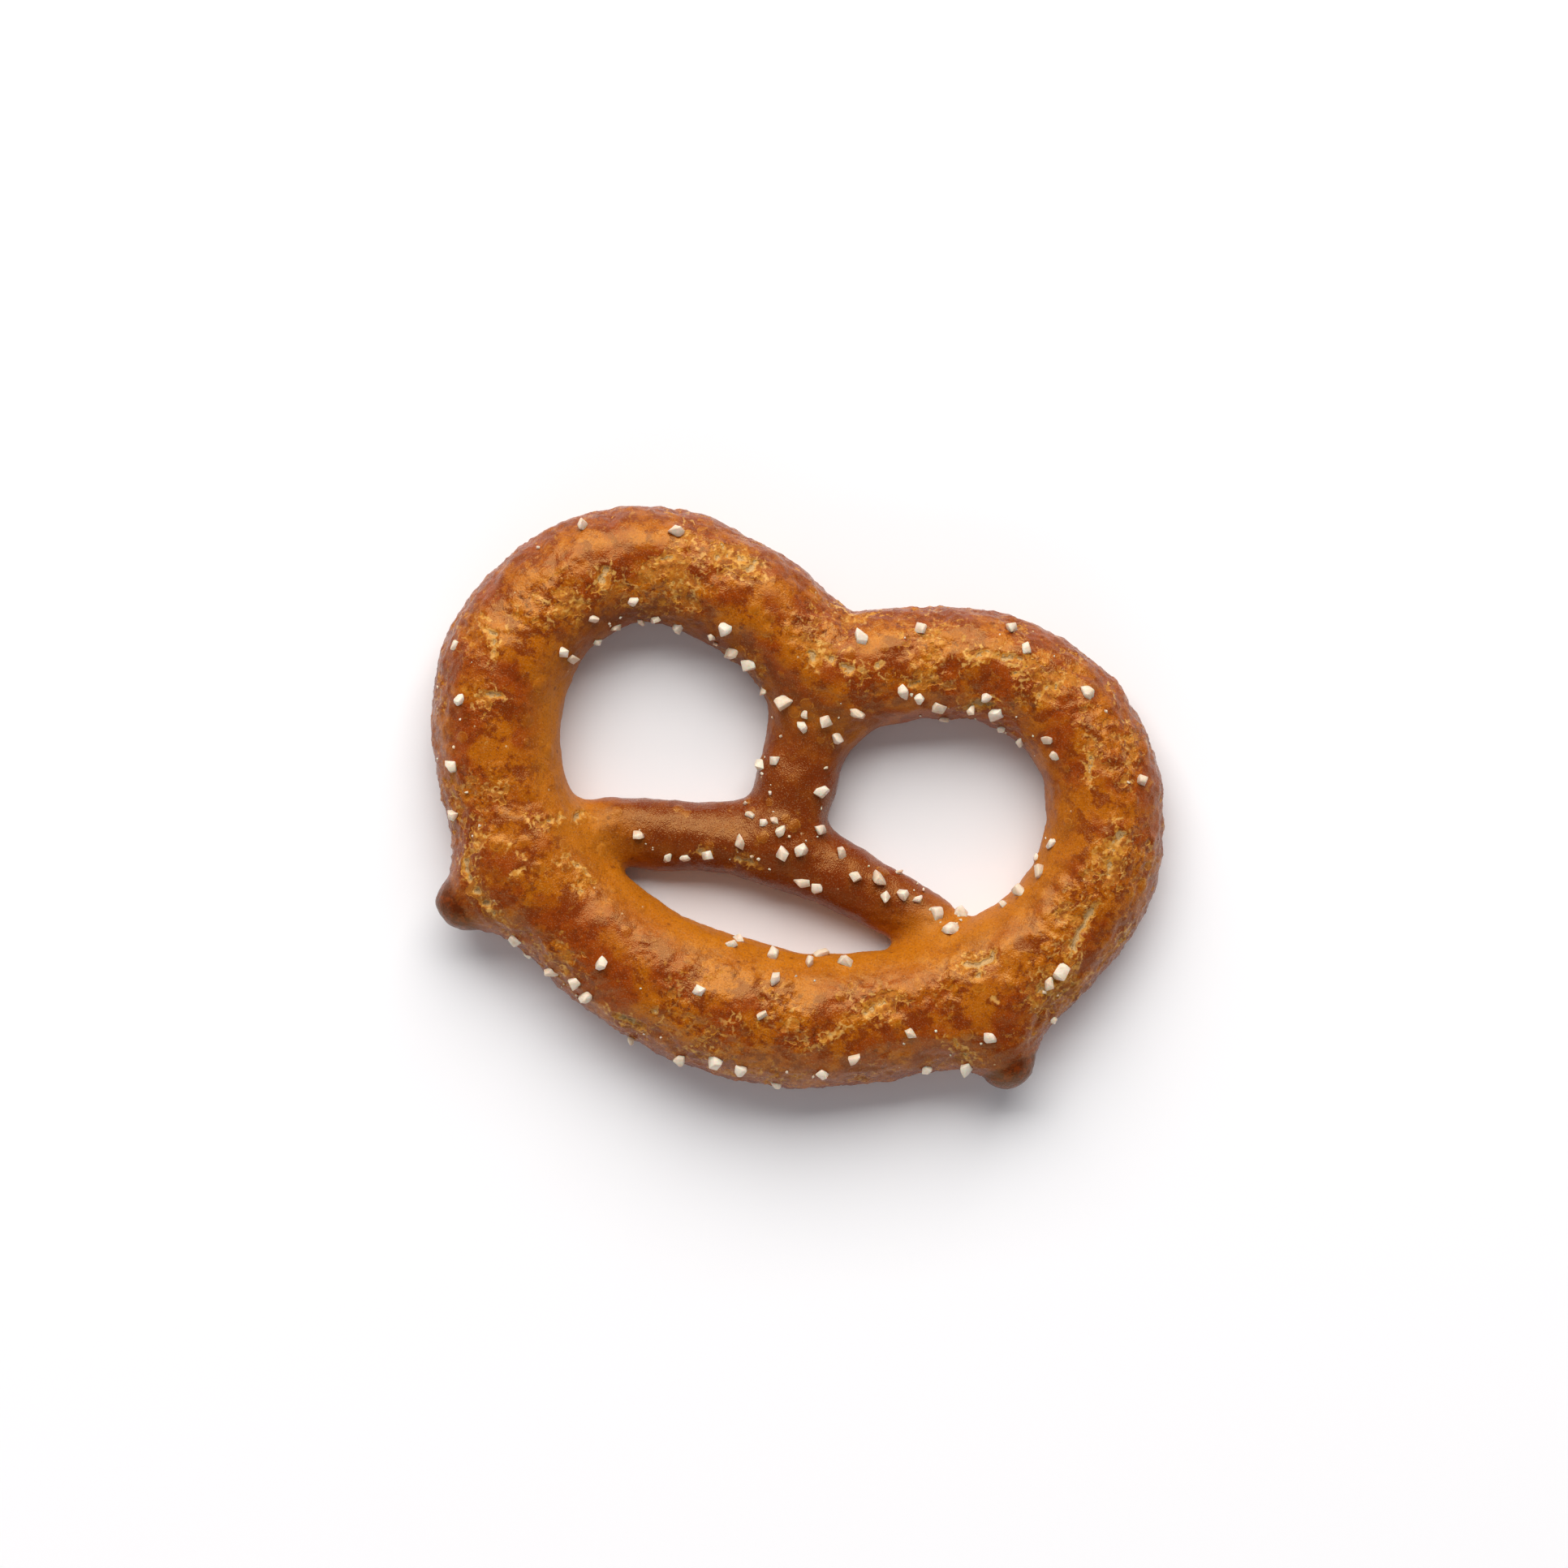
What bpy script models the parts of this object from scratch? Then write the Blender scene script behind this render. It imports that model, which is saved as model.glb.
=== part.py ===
"""A small crisp pretzel, baked brown and glossy and sprinkled with fine salt, as one solid.

The dough is a few strands that lie flat and have run together in the oven: a heart-shaped ring, a short
trunk that hangs from the ring's notch, and two arms that leave the trunk's foot and run into the ring. The
arms' ends stick out past the ring as blunt tips. +X is the pretzel's right, +Y points at its two lobes and
+Z is up. The pretzel rests on its baked-flat underside at z = 0, with the middle of its outline over the
origin.
"""

import math
import random

import bmesh
import bpy
import numpy as np
from mathutils import Euler, Matrix, Vector, noise
from mathutils.kdtree import KDTree

MM = 0.001

# Each strand is a row of stations in millimetres: x, y, half the strand's width there, and how far its
# underside is lifted off the baking sheet. The ring is closed, and starts at the notch.
RING = [
    (0.6, 9.7, 3.25, 0.0),
    (-2.4, 10.7, 3.40, 0.0),
    (-5.6, 11.95, 3.45, 0.0),
    (-10.3, 12.65, 3.50, 0.0),
    (-14.5, 11.3, 3.60, 0.0),
    (-17.5, 7.9, 3.75, 0.0),
    (-18.7, 3.4, 3.95, 0.0),
    (-17.8, -0.9, 3.80, 0.0),
    (-15.6, -4.7, 3.80, 0.0),
    (-12.5, -8.0, 3.80, 0.0),
    (-8.6, -10.2, 3.80, 0.0),
    (-4.3, -11.6, 4.05, 0.0),
    (0.2, -12.1, 4.20, 0.0),
    (4.8, -11.6, 4.10, 0.0),
    (9.1, -10.05, 3.90, 0.0),
    (13.2, -7.6, 3.80, 0.0),
    (16.6, -4.6, 3.85, 0.0),
    (18.7, -1.1, 3.65, 0.0),
    (19.5, 3.4, 3.60, 0.0),
    (18.0, 8.3, 3.45, 0.0),
    (14.9, 11.2, 3.35, 0.0),
    (10.7, 12.45, 3.30, 0.0),
    (6.6, 11.8, 3.35, 0.0),
    (3.5, 10.6, 3.40, 0.0),
]
TRUNK = [
    (0.5, 8.5, 3.00, 0.0),
    (0.4, 6.4, 2.65, 0.0),
    (0.35, 2.6, 2.45, 0.0),
    (0.4, -1.4, 2.25, 0.0),
]
ARMS = [
    (-14.4, -7.4, 1.90, 0.6),
    (-12.5, -5.7, 2.10, 0.4),
    (-9.6, -4.0, 2.00, 0.0),
    (-6.1, -3.15, 2.05, 0.0),
    (-2.8, -2.3, 2.20, 0.0),
    (0.4, -1.9, 2.20, 0.0),
    (3.7, -2.35, 2.10, 0.0),
    (7.2, -2.95, 1.90, 0.0),
    (10.6, -3.8, 1.85, 0.0),
    (13.4, -6.0, 2.00, 0.4),
    (15.3, -7.9, 1.85, 0.6),
]
LEFT_TIP = [
    (-15.1, -8.5, 2.30, 1.6),
    (-16.1, -9.8, 1.95, 1.9),
    (-16.9, -10.8, 1.50, 2.2),
]
RIGHT_TIP = [
    (15.9, -8.3, 2.20, 1.6),
    (17.0, -9.6, 1.85, 1.9),
    (17.8, -10.5, 1.40, 2.2),
]
# Moves the stations so that the finished outline's middle, grains included, is over the origin.
CENTRING = (-0.236, 0.159)

# The dough's section is an ellipse, a little flatter than it is wide, with its foot baked flat.
SECTION_RISE = 0.93  # height of the ellipse over its width
FOOT_SUNK = 0.17  # share of the ellipse's height that the flat foot cuts away
FOOT_EDGE = 0.9 * MM  # how gently the side turns into the foot
TRUNK_BLEND = 2.4 * MM  # how widely the trunk flares into the ring
ARM_BLEND = 1.3 * MM  # how widely the arms flare into the ring and the trunk
TIP_BLEND = 3.0 * MM  # how widely the tips flare out of the ring
ROW_STEP = 0.5 * MM  # from one of a strand's rows to the next

# Low lumps in the dough, left by rising and baking.
LUMP_HEIGHT = 0.16 * MM
LUMP_SIZE = 3.4 * MM

# Fineness of the faceted surface.
ROLL_FINENESS = 5
END_FINENESS = 3
BLANK_VOXEL = 0.5 * MM
SETTLING_ROUNDS = 6
DOUGH_TRIANGLES = 5600
FOOT_SNAP = 0.05 * MM  # what lies lower than this is laid flat on the sheet
SLOPE_STEP = 0.02 * MM
LEAST_STEEPNESS = 0.2  # keeps a settling point from leaping where the depth is nearly level

# Salt grains, by zones: the strand, the first and last station, the lowest and highest turn from straight
# up in degrees, and how many. A positive turn is towards the ring's middle, the trunk's right or an arm's
# upper side.
SALT_SEED = 11
SALT_WIDTH = (0.55, 1.0)  # smallest and largest grain, millimetres
SALT_SUNK = 0.30  # share of a grain's width that is baked into the crust
SALT_CLEARANCE = 1.15  # least distance between two grains' middles, in mean widths
GRAIN_DRAWN_OUT = 0.35  # most that a grain is drawn out one way, as a share of its width
GRAIN_FLATTENED = 0.3  # most that it is flattened another way
SALT_TRIES = 40
SALT_ZONES = [
    ("ring", 1.2, 5.6, 38, 82, 13),
    ("ring", 2.4, 5.2, -60, -20, 2),
    ("ring", 5.4, 8.6, -75, -25, 4),
    ("ring", 9.3, 10.5, -80, -50, 5),
    ("ring", 9.6, 13.0, -20, 25, 3),
    ("ring", 11.0, 13.4, -82, -50, 6),
    ("ring", 11.6, 13.9, 35, 82, 7),
    ("ring", 13.6, 16.8, -75, -20, 8),
    ("ring", 16.3, 18.1, 50, 82, 5),
    ("ring", 19.4, 22.8, 30, 82, 11),
    ("ring", 18.5, 23.7, -70, -20, 6),
    ("trunk", 0.2, 2.7, -78, -10, 7),
    ("trunk", 0.2, 2.7, 5, 75, 5),
    ("arms", 2.2, 4.4, -45, 20, 5),
    ("arms", 4.4, 6.0, -45, 55, 7),
    ("arms", 6.0, 7.2, -35, 60, 4),
    ("arms", 7.1, 8.7, 20, 70, 6),
]

CRUST_BROWN = (0.42, 0.17, 0.035, 1.0)
CRUST_ROUGHNESS = 0.42


def along_curve(before, start, end, after, t):
    """Points of the smooth curve that runs from start to end, between the stations before and after."""
    bend = 2 * before - 5 * start + 4 * end - after
    twist = 3 * start - before - 3 * end + after
    return (2 * start + (end - before) * t + bend * t**2 + twist * t**3) / 2


def middle_height(half, lift):
    """Height of a section's middle over the baking sheet."""
    return lift + half * SECTION_RISE * (1 - 2 * FOOT_SUNK)


class Strand:
    """A roll of dough: rows of x, y, half width and lift in metres, close together on a smooth curve
    through its stations, and the station number of each row."""

    def __init__(self, stations, closed=False):
        self.closed = closed
        marks = np.array(stations) * MM
        marks[:, :2] += np.array(CENTRING) * MM
        count = len(marks)
        pieces = []
        numbers = []
        for i in range(count if closed else count - 1):
            around = [j % count if closed else min(max(j, 0), count - 1) for j in range(i - 1, i + 3)]
            run = np.linalg.norm(marks[around[2], :2] - marks[around[1], :2])
            steps = max(2, math.ceil(run / ROW_STEP))
            t = np.arange(steps)[:, None] / steps
            pieces.append(along_curve(*marks[around], t))
            numbers.append(i + t[:, 0])
        if not closed:
            pieces.append(marks[-1:])
            numbers.append(np.array([count - 1.0]))
        self.rows = np.vstack(pieces)
        self.numbers = np.concatenate(numbers)
        self.ends = self.rows[:0] if closed else self.rows[[0, -1]]
        self.tree = KDTree(len(self.rows))
        for number, (x, y, _, _) in enumerate(self.rows):
            self.tree.insert((x, y, 0), number)
        self.tree.balance()

    def nearest(self, points):
        """The row that is nearest in plan to each point."""
        return np.array([self.tree.find((x, y, 0))[1] for x, y, _ in points])

    def depth(self, points, nearest):
        """How far each point lies outside the rounded section, negative inside."""
        depths = []
        for first in (nearest - 1, nearest):
            if not self.closed:
                first = np.clip(first, 0, len(self.rows) - 2)
            here = self.rows[first]
            ahead = self.rows[(first + 1) % len(self.rows)] - here
            run = ahead[:, :2]
            share = ((points[:, :2] - here[:, :2]) * run).sum(axis=1) / (run**2).sum(axis=1)
            x, y, half, lift = (here + ahead * np.clip(share, 0, 1)[:, None]).T
            up = (points[:, 2] - middle_height(half, lift)) / SECTION_RISE
            depths.append(np.sqrt((points[:, 0] - x) ** 2 + (points[:, 1] - y) ** 2 + up**2) - half)
        return np.minimum(*depths)

    def spot(self, number, turn):
        """The place at a station number, turned from straight up towards the left of the strand's run."""
        at = int(np.argmin(np.abs(self.numbers - number)))
        x, y, half, lift = (float(value) for value in self.rows[at])
        ahead = self.rows[(at + 1) % len(self.rows)] - self.rows[at - 1]
        left = Vector((-ahead[1], ahead[0])).normalized() * math.sin(turn)
        return Vector((x, y, middle_height(half, lift))) + Vector((left.x, left.y, math.cos(turn))) * half


STRANDS = {
    "ring": Strand(RING, closed=True),
    "trunk": Strand(TRUNK),
    "arms": Strand(ARMS),
    "left_tip": Strand(LEFT_TIP),
    "right_tip": Strand(RIGHT_TIP),
}


def blend_out(a, b, width):
    """The smaller of two depths, with a fillet where they are alike."""
    near = np.clip(width - np.abs(a - b), 0, None) / width
    return np.minimum(a, b) - near**2 * width / 4


def lumps(points):
    """Low uneven swellings of the dough at each point."""
    return np.array([noise.noise(Vector(p) / LUMP_SIZE) for p in points]) * LUMP_HEIGHT


def nearest_rows(points):
    """For each strand, its row nearest to each point."""
    return {name: strand.nearest(points) for name, strand in STRANDS.items()}


def dough_depth(points, near):
    """How far each point lies outside the whole pretzel, negative inside."""
    depths = {name: strand.depth(points, near[name]) for name, strand in STRANDS.items()}
    depth = blend_out(depths["ring"], depths["trunk"], TRUNK_BLEND)
    depth = blend_out(depth, depths["arms"], ARM_BLEND)
    depth = blend_out(depth, depths["left_tip"], TIP_BLEND)
    depth = blend_out(depth, depths["right_tip"], TIP_BLEND)
    return -blend_out(-depth - lumps(points), points[:, 2], FOOT_EDGE)


def dough_slope(points, near):
    """Direction in which the depth grows fastest at each point, and how fast."""
    ways = np.eye(3) * SLOPE_STEP
    rises = [dough_depth(points + way, near) - dough_depth(points - way, near) for way in ways]
    return np.stack(rises, axis=1) / (2 * SLOPE_STEP)


def settled(points):
    """The points moved onto the pretzel's surface."""
    for _ in range(SETTLING_ROUNDS):
        near = nearest_rows(points)
        slope = dough_slope(points, near)
        steep = np.clip((slope**2).sum(axis=1), LEAST_STEEPNESS, None)
        points = points - slope * (dough_depth(points, near) / steep)[:, None]
    return points


def link(mesh, name):
    """A new object of that name in the scene."""
    made = bpy.data.objects.new(name, mesh)
    bpy.context.scene.collection.objects.link(made)
    return made


def evaluated_mesh(source):
    """A new mesh of the object with its modifiers worked out."""
    bpy.context.view_layer.update()
    seen = source.evaluated_get(bpy.context.evaluated_depsgraph_get())
    return bpy.data.meshes.new_from_object(seen)


def rolled_strand(name, strand):
    """A strand as a plain round roll of dough."""
    curve = bpy.data.curves.new(name, "CURVE")
    curve.dimensions = "3D"
    curve.bevel_depth = 1.0
    curve.bevel_resolution = ROLL_FINENESS
    curve.use_fill_caps = True
    spline = curve.splines.new("POLY")
    spline.points.add(len(strand.rows) - 1)
    spline.use_cyclic_u = strand.closed
    for point, (x, y, half, lift) in zip(spline.points, strand.rows):
        point.co = (x, y, middle_height(half, lift), 1)
        point.radius = half * SECTION_RISE
    return link(curve, name)


def laid_rolls():
    """The rolls in one mesh, with rounded ends, still crossing each other."""
    joined = bmesh.new()
    for name, strand in STRANDS.items():
        roll = rolled_strand(name, strand)
        joined.from_mesh(evaluated_mesh(roll))
        bpy.data.objects.remove(roll)
        for x, y, half, lift in strand.ends:
            place = Matrix.Translation((x, y, middle_height(half, lift)))
            radius = half * SECTION_RISE
            bmesh.ops.create_icosphere(joined, subdivisions=END_FINENESS, radius=radius, matrix=place)
    mesh = bpy.data.meshes.new("rolls")
    joined.to_mesh(mesh)
    joined.free()
    return mesh


def even_skin(mesh):
    """One closed skin of even squares round all that the mesh holds, settled on the pretzel's surface."""
    blank = link(mesh, "blank")
    remesh = blank.modifiers.new("skin", "REMESH")
    remesh.mode = "VOXEL"
    remesh.voxel_size = BLANK_VOXEL
    skin = evaluated_mesh(blank)
    bpy.data.objects.remove(blank)
    skin.vertices.foreach_set("co", settled(mesh_points(skin)).ravel())
    skin.update()
    return skin


def mesh_points(mesh):
    """The mesh's vertices as an array."""
    flat = np.empty(len(mesh.vertices) * 3)
    mesh.vertices.foreach_get("co", flat)
    return flat.reshape(-1, 3)


def baked_dough():
    """The pretzel without its salt, as an object."""
    mesh = even_skin(even_skin(laid_rolls()))
    dough = link(mesh, "pretzel")
    triangles = sum(len(p.vertices) - 2 for p in mesh.polygons)
    thin = dough.modifiers.new("thin", "DECIMATE")
    thin.ratio = DOUGH_TRIANGLES / triangles
    thin.use_collapse_triangulate = True
    dough.data = evaluated_mesh(dough)
    dough.modifiers.clear()
    points = mesh_points(dough.data)
    points[points[:, 2] < FOOT_SNAP, 2] = 0.0
    dough.data.vertices.foreach_set("co", points.ravel())
    dough.data.update()
    return dough


def salt_places():
    """Each grain's place on the crust, the way out from it, its width, its spin and its stretch."""
    draw = random.Random(SALT_SEED)
    grains = []
    for strand, first, last, low, high, count in SALT_ZONES:
        for i in range(count):
            for _ in range(SALT_TRIES):
                number = first + (last - first) * (i + draw.random()) / count
                start = STRANDS[strand].spot(number, math.radians(draw.uniform(low, high)))
                width = draw.uniform(*SALT_WIDTH) * MM
                room = [(start - other).length - SALT_CLEARANCE * (width + w) / 2 for other, w, *_ in grains]
                if min(room, default=1) > 0:
                    break
            spin = Euler([draw.uniform(0, math.tau) for _ in range(3)])
            grains.append((start, width, spin, draw.random()))
    points = settled(np.array([tuple(start) for start, *_ in grains]))
    slopes = dough_slope(points, nearest_rows(points))
    return [(Vector(p), Vector(s).normalized(), *grain[1:]) for p, s, grain in zip(points, slopes, grains)]


def salt_grain(place, outward, width, spin, shape):
    """One crystal: a low-sided ball, drawn out and flattened a little, sunk in the crust."""
    grain = bmesh.new()
    bmesh.ops.create_icosphere(grain, subdivisions=1, radius=width / 2)
    stretch = Vector((1 + GRAIN_DRAWN_OUT * shape, 1, 1 - GRAIN_FLATTENED * shape))
    bmesh.ops.scale(grain, verts=grain.verts, vec=stretch)
    bmesh.ops.rotate(grain, verts=grain.verts, matrix=spin.to_matrix())
    middle = place + outward * width * (0.5 - SALT_SUNK)
    bmesh.ops.translate(grain, verts=grain.verts, vec=middle)
    mesh = bpy.data.meshes.new("grain")
    grain.to_mesh(mesh)
    grain.free()
    return mesh


def fuse_salt(dough):
    """Joins the grains to the dough as one solid."""
    shaker = bpy.data.collections.new("salt")
    bpy.context.scene.collection.children.link(shaker)
    for number, place in enumerate(salt_places()):
        grain = bpy.data.objects.new(f"grain_{number}", salt_grain(*place))
        shaker.objects.link(grain)
    union = dough.modifiers.new("salt", "BOOLEAN")
    union.operation = "UNION"
    union.operand_type = "COLLECTION"
    union.collection = shaker
    union.solver = "EXACT"
    dough.data = evaluated_mesh(dough)
    dough.modifiers.clear()
    for grain in list(shaker.objects):
        bpy.data.objects.remove(grain)
    bpy.data.collections.remove(shaker)


def keep_largest_body(mesh):
    """Fills sealed hollows and drops loose scraps by keeping only the biggest connected skin."""
    body = bmesh.new()
    body.from_mesh(mesh)
    bmesh.ops.triangulate(body, faces=body.faces)
    unseen = set(body.verts)
    skins = []
    while unseen:
        skin = {unseen.pop()}
        edge = list(skin)
        while edge:
            here = edge.pop()
            for e in here.link_edges:
                other = e.other_vert(here)
                if other in unseen:
                    unseen.discard(other)
                    skin.add(other)
                    edge.append(other)
        skins.append(skin)
    biggest = max(skins, key=len)
    scraps = [v for skin in skins if skin is not biggest for v in skin]
    bmesh.ops.delete(body, geom=scraps, context="VERTS")
    body.to_mesh(mesh)
    body.free()


def crust_material():
    """Glossy brown baked crust."""
    crust = bpy.data.materials.new("crust")
    crust.use_nodes = True
    shader = crust.node_tree.nodes["Principled BSDF"]
    shader.inputs["Base Color"].default_value = CRUST_BROWN
    shader.inputs["Roughness"].default_value = CRUST_ROUGHNESS
    shader.inputs["Metallic"].default_value = 0.0
    return crust


def main():
    for old in list(bpy.data.objects):
        bpy.data.objects.remove(old)
    dough = baked_dough()
    fuse_salt(dough)
    keep_largest_body(dough.data)
    dough.data.materials.clear()
    dough.data.materials.append(crust_material())
    dough.data.shade_smooth()


main()
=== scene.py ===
"""The looks of a small crisp pretzel: its mottled, cracked and blistered crust, and its salt."""

import math
import random
from types import SimpleNamespace

import bpy
import numpy as np
from mathutils import Euler, Matrix, Vector, noise
from mathutils.kdtree import KDTree


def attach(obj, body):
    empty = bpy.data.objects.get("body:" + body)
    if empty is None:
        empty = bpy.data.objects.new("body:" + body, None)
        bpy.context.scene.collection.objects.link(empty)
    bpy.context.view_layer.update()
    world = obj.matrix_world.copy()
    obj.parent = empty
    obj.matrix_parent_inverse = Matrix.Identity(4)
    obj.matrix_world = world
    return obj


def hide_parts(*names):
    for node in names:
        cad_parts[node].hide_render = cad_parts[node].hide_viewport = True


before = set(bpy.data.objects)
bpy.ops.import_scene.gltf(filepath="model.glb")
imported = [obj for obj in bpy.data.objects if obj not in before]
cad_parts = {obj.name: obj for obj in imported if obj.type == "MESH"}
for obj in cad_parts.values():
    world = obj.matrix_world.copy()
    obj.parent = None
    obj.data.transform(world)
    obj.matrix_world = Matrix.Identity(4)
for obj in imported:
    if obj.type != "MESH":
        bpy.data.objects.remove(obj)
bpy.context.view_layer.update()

MM = 0.001

# The dough's strands, as the solid has them. Each station is x, y, half the strand's width and the lift
# of its underside off the baking sheet, in millimetres. The ring is closed, and starts at the notch.
RING = [
    (0.6, 9.7, 3.25, 0.0),
    (-2.4, 10.7, 3.40, 0.0),
    (-5.6, 11.95, 3.45, 0.0),
    (-10.3, 12.65, 3.50, 0.0),
    (-14.5, 11.3, 3.60, 0.0),
    (-17.5, 7.9, 3.75, 0.0),
    (-18.7, 3.4, 3.95, 0.0),
    (-17.8, -0.9, 3.80, 0.0),
    (-15.6, -4.7, 3.80, 0.0),
    (-12.5, -8.0, 3.80, 0.0),
    (-8.6, -10.2, 3.80, 0.0),
    (-4.3, -11.6, 4.05, 0.0),
    (0.2, -12.1, 4.20, 0.0),
    (4.8, -11.6, 4.10, 0.0),
    (9.1, -10.05, 3.90, 0.0),
    (13.2, -7.6, 3.80, 0.0),
    (16.6, -4.6, 3.85, 0.0),
    (18.7, -1.1, 3.65, 0.0),
    (19.5, 3.4, 3.60, 0.0),
    (18.0, 8.3, 3.45, 0.0),
    (14.9, 11.2, 3.35, 0.0),
    (10.7, 12.45, 3.30, 0.0),
    (6.6, 11.8, 3.35, 0.0),
    (3.5, 10.6, 3.40, 0.0),
]
TRUNK = [
    (0.5, 8.5, 3.00, 0.0),
    (0.4, 6.4, 2.65, 0.0),
    (0.35, 2.6, 2.45, 0.0),
    (0.4, -1.4, 2.25, 0.0),
]
ARMS = [
    (-14.4, -7.4, 1.90, 0.6),
    (-12.5, -5.7, 2.10, 0.4),
    (-9.6, -4.0, 2.00, 0.0),
    (-6.1, -3.15, 2.05, 0.0),
    (-2.8, -2.3, 2.20, 0.0),
    (0.4, -1.9, 2.20, 0.0),
    (3.7, -2.35, 2.10, 0.0),
    (7.2, -2.95, 1.90, 0.0),
    (10.6, -3.8, 1.85, 0.0),
    (13.4, -6.0, 2.00, 0.4),
    (15.3, -7.9, 1.85, 0.6),
]
LEFT_TIP = [
    (-15.1, -8.5, 2.30, 1.6),
    (-16.1, -9.8, 1.95, 1.9),
    (-16.9, -10.8, 1.50, 2.2),
]
RIGHT_TIP = [
    (15.9, -8.3, 2.20, 1.6),
    (17.0, -9.6, 1.85, 1.9),
    (17.8, -10.5, 1.40, 2.2),
]
# The shift that puts the outline's middle on the origin, in millimetres.
CENTRING = (-0.236, 0.159)
# A strand's height for its width, and the share of its height that the flat foot cuts off.
SECTION_RISE = 0.93
FOOT_SUNK = 0.17
# The width of the fillets at the foot's edge and where strands join.
FOOT_EDGE = 0.9 * MM
TRUNK_BLEND = 2.4 * MM
ARM_BLEND = 1.3 * MM
TIP_BLEND = 3.0 * MM
ROW_STEP = 0.5 * MM
LUMP_HEIGHT = 0.16 * MM
LUMP_SIZE = 3.4 * MM

# How finely the surface is followed, and the fineness of the rolls, the caps and the crust's skin.
SLOPE_STEP = 0.02 * MM
LEAST_STEEPNESS = 0.2
ROLL_ROUNDNESS = 5
CAP_ROUNDNESS = 3
ROUGH_VOXEL = 0.5 * MM
FINE_VOXEL = 0.19 * MM
ROUGH_ROUNDS = 6
FINE_ROUNDS = 3

# Finer swellings in the larger ones: their strength, and how many times smaller they are.
WAVE_SHARE = 0.55
WAVE_FINER = 2.1

# Salt, in the same places as on the solid: the strand, the first and last station, the lowest and highest
# turn from straight up in degrees, and how many grains.
SALT_SEED = 11
SALT_WIDTH = (0.55, 1.0)
SALT_SUNK = 0.30
SALT_CLEARANCE = 1.15
SALT_TRIES = 40
SALT_ZONES = [
    ("ring", 1.2, 5.6, 38, 82, 13),
    ("ring", 2.4, 5.2, -60, -20, 2),
    ("ring", 5.4, 8.6, -75, -25, 4),
    ("ring", 9.3, 10.5, -80, -50, 5),
    ("ring", 9.6, 13.0, -20, 25, 3),
    ("ring", 11.0, 13.4, -82, -50, 6),
    ("ring", 11.6, 13.9, 35, 82, 7),
    ("ring", 13.6, 16.8, -75, -20, 8),
    ("ring", 16.3, 18.1, 50, 82, 5),
    ("ring", 19.4, 22.8, 30, 82, 11),
    ("ring", 18.5, 23.7, -70, -20, 6),
    ("trunk", 0.2, 2.7, -78, -10, 7),
    ("trunk", 0.2, 2.7, 5, 75, 5),
    ("arms", 2.2, 4.4, -45, 20, 5),
    ("arms", 4.4, 6.0, -45, 55, 7),
    ("arms", 6.0, 7.2, -35, 60, 4),
    ("arms", 7.1, 8.7, 20, 70, 6),
]

# Crystals, modelled one metre wide: how many kinds, how many cuts each, how far from the middle a cut is,
# how near corners are merged before and after the edges are worn, and how much they are worn.
CRYSTAL_SEED = 21
CRYSTAL_KINDS = 7
CRYSTAL_CUTS = 7
CRYSTAL_CUT_DEPTH = (0.36, 0.52)
CRYSTAL_MERGE = 0.06
CRYSTAL_WEAR = 0.11
CRYSTAL_FINEST = 0.01
CRYSTAL_SOFT_ANGLE = math.radians(62)
# A crystal's size in its grain's width, and the most that it is stretched and flattened.
CRYSTAL_FILL = 0.80
CRYSTAL_STRETCH = 0.35
CRYSTAL_FLATTEN = 0.3
CRUMB_SEED = 8
CRUMBS = 90
CRUMB_WIDTH = (0.12, 0.30)
CRUMB_SUNK = 0.2

# Main cracks: the strand, the station, the turn from straight up in degrees, the length in millimetres,
# the heading from the strand's run in degrees, and how far the crust has opened, from 0 to 1.
CRACKS = [
    ("ring", 23.8, 5, 3.4, 20, 0.75),
    ("ring", 0.4, 15, 2.6, -50, 0.6),
    ("ring", 2.3, -25, 4.2, 12, 0.9),
    ("ring", 3.0, 2, 2.6, 70, 0.5),
    ("ring", 3.9, -8, 2.4, 80, 0.75),
    ("ring", 4.6, 25, 3.0, -40, 0.5),
    ("ring", 5.8, -45, 4.0, 15, 0.6),
    ("ring", 6.5, -20, 3.0, 60, 0.55),
    ("ring", 8.7, -45, 4.6, 5, 1.0),
    ("ring", 8.3, 5, 4.0, 60, 0.55),
    ("ring", 9.1, 30, 3.4, 15, 0.5),
    ("ring", 10.9, -55, 3.0, 10, 0.95),
    ("ring", 12.2, -5, 3.6, 10, 0.35),
    ("ring", 13.3, -28, 4.0, 20, 0.4),
    ("ring", 14.0, -5, 5.0, 30, 0.5),
    ("ring", 14.9, -30, 3.2, -25, 0.45),
    ("ring", 15.6, 28, 3.0, -10, 0.9),
    ("ring", 16.2, -25, 3.8, 5, 0.7),
    ("ring", 17.0, -35, 6.0, 8, 1.0),
    ("ring", 18.1, -15, 4.6, 20, 0.95),
    ("ring", 19.1, 15, 4.0, 10, 0.6),
    ("ring", 20.3, -20, 2.8, 75, 0.5),
    ("ring", 21.1, -15, 5.0, 5, 0.9),
    ("ring", 21.3, 38, 3.4, 0, 0.8),
    ("ring", 22.3, 12, 2.6, 60, 0.5),
    ("arms", 3.6, -30, 1.6, 0, 0.6),
    ("arms", 4.4, -25, 2.6, -10, 0.95),
    ("arms", 1.3, 30, 3.0, -40, 0.5),
    ("arms", 9.3, 10, 2.4, 30, 0.8),
    ("trunk", 1.3, 15, 1.6, 60, 0.3),
]
CRACK_SEED = 5
CRACK_STEP = 0.05 * MM
CRACK_WANDER = 11.5  # degrees that a crack turns at each step, as a spread
CRACK_RETURN = 0.05  # share of the turning that is taken back at each step
CRACK_TAPER = 0.6
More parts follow.
